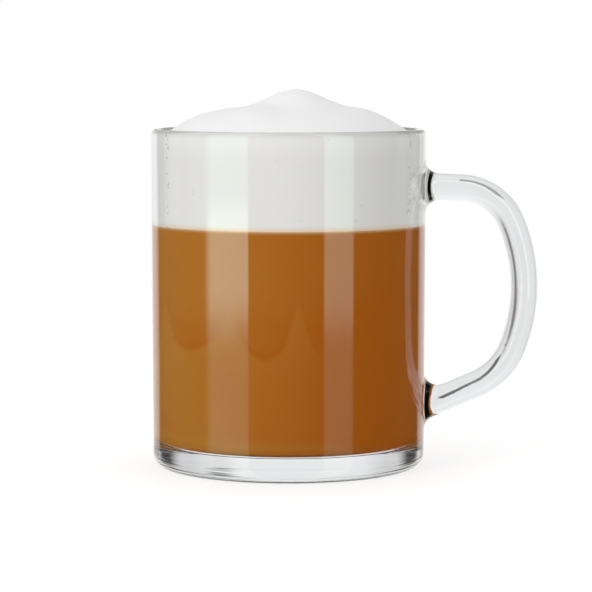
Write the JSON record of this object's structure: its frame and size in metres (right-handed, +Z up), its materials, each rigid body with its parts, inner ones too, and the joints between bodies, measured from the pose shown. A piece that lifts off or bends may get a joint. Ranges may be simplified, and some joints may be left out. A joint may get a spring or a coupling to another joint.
{
  "type": "flat white in a glass mug",
  "caption": "Clear glass mug with a bowed handle, filled with milk coffee under a deep, domed head of white milk foam.",
  "frame": {"origin": "centre of the foot, on the mug's axis, at the level of the table", "axes": "+Z up along the mug's axis, +X towards the handle, +Y away from the viewer"},
  "size_m": [0.1098, 0.078, 0.1072],
  "materials": {
    "clear_glass": "clear, fire-polished",
    "coffee": "opaque milky brown liquid",
    "foam": "fine, moist microfoam"
  },
  "bodies": {
    "root": {"glass_mug": "clear_glass", "milk_coffee": "coffee", "milk_foam": "foam"}
  },
  "joints": []
}
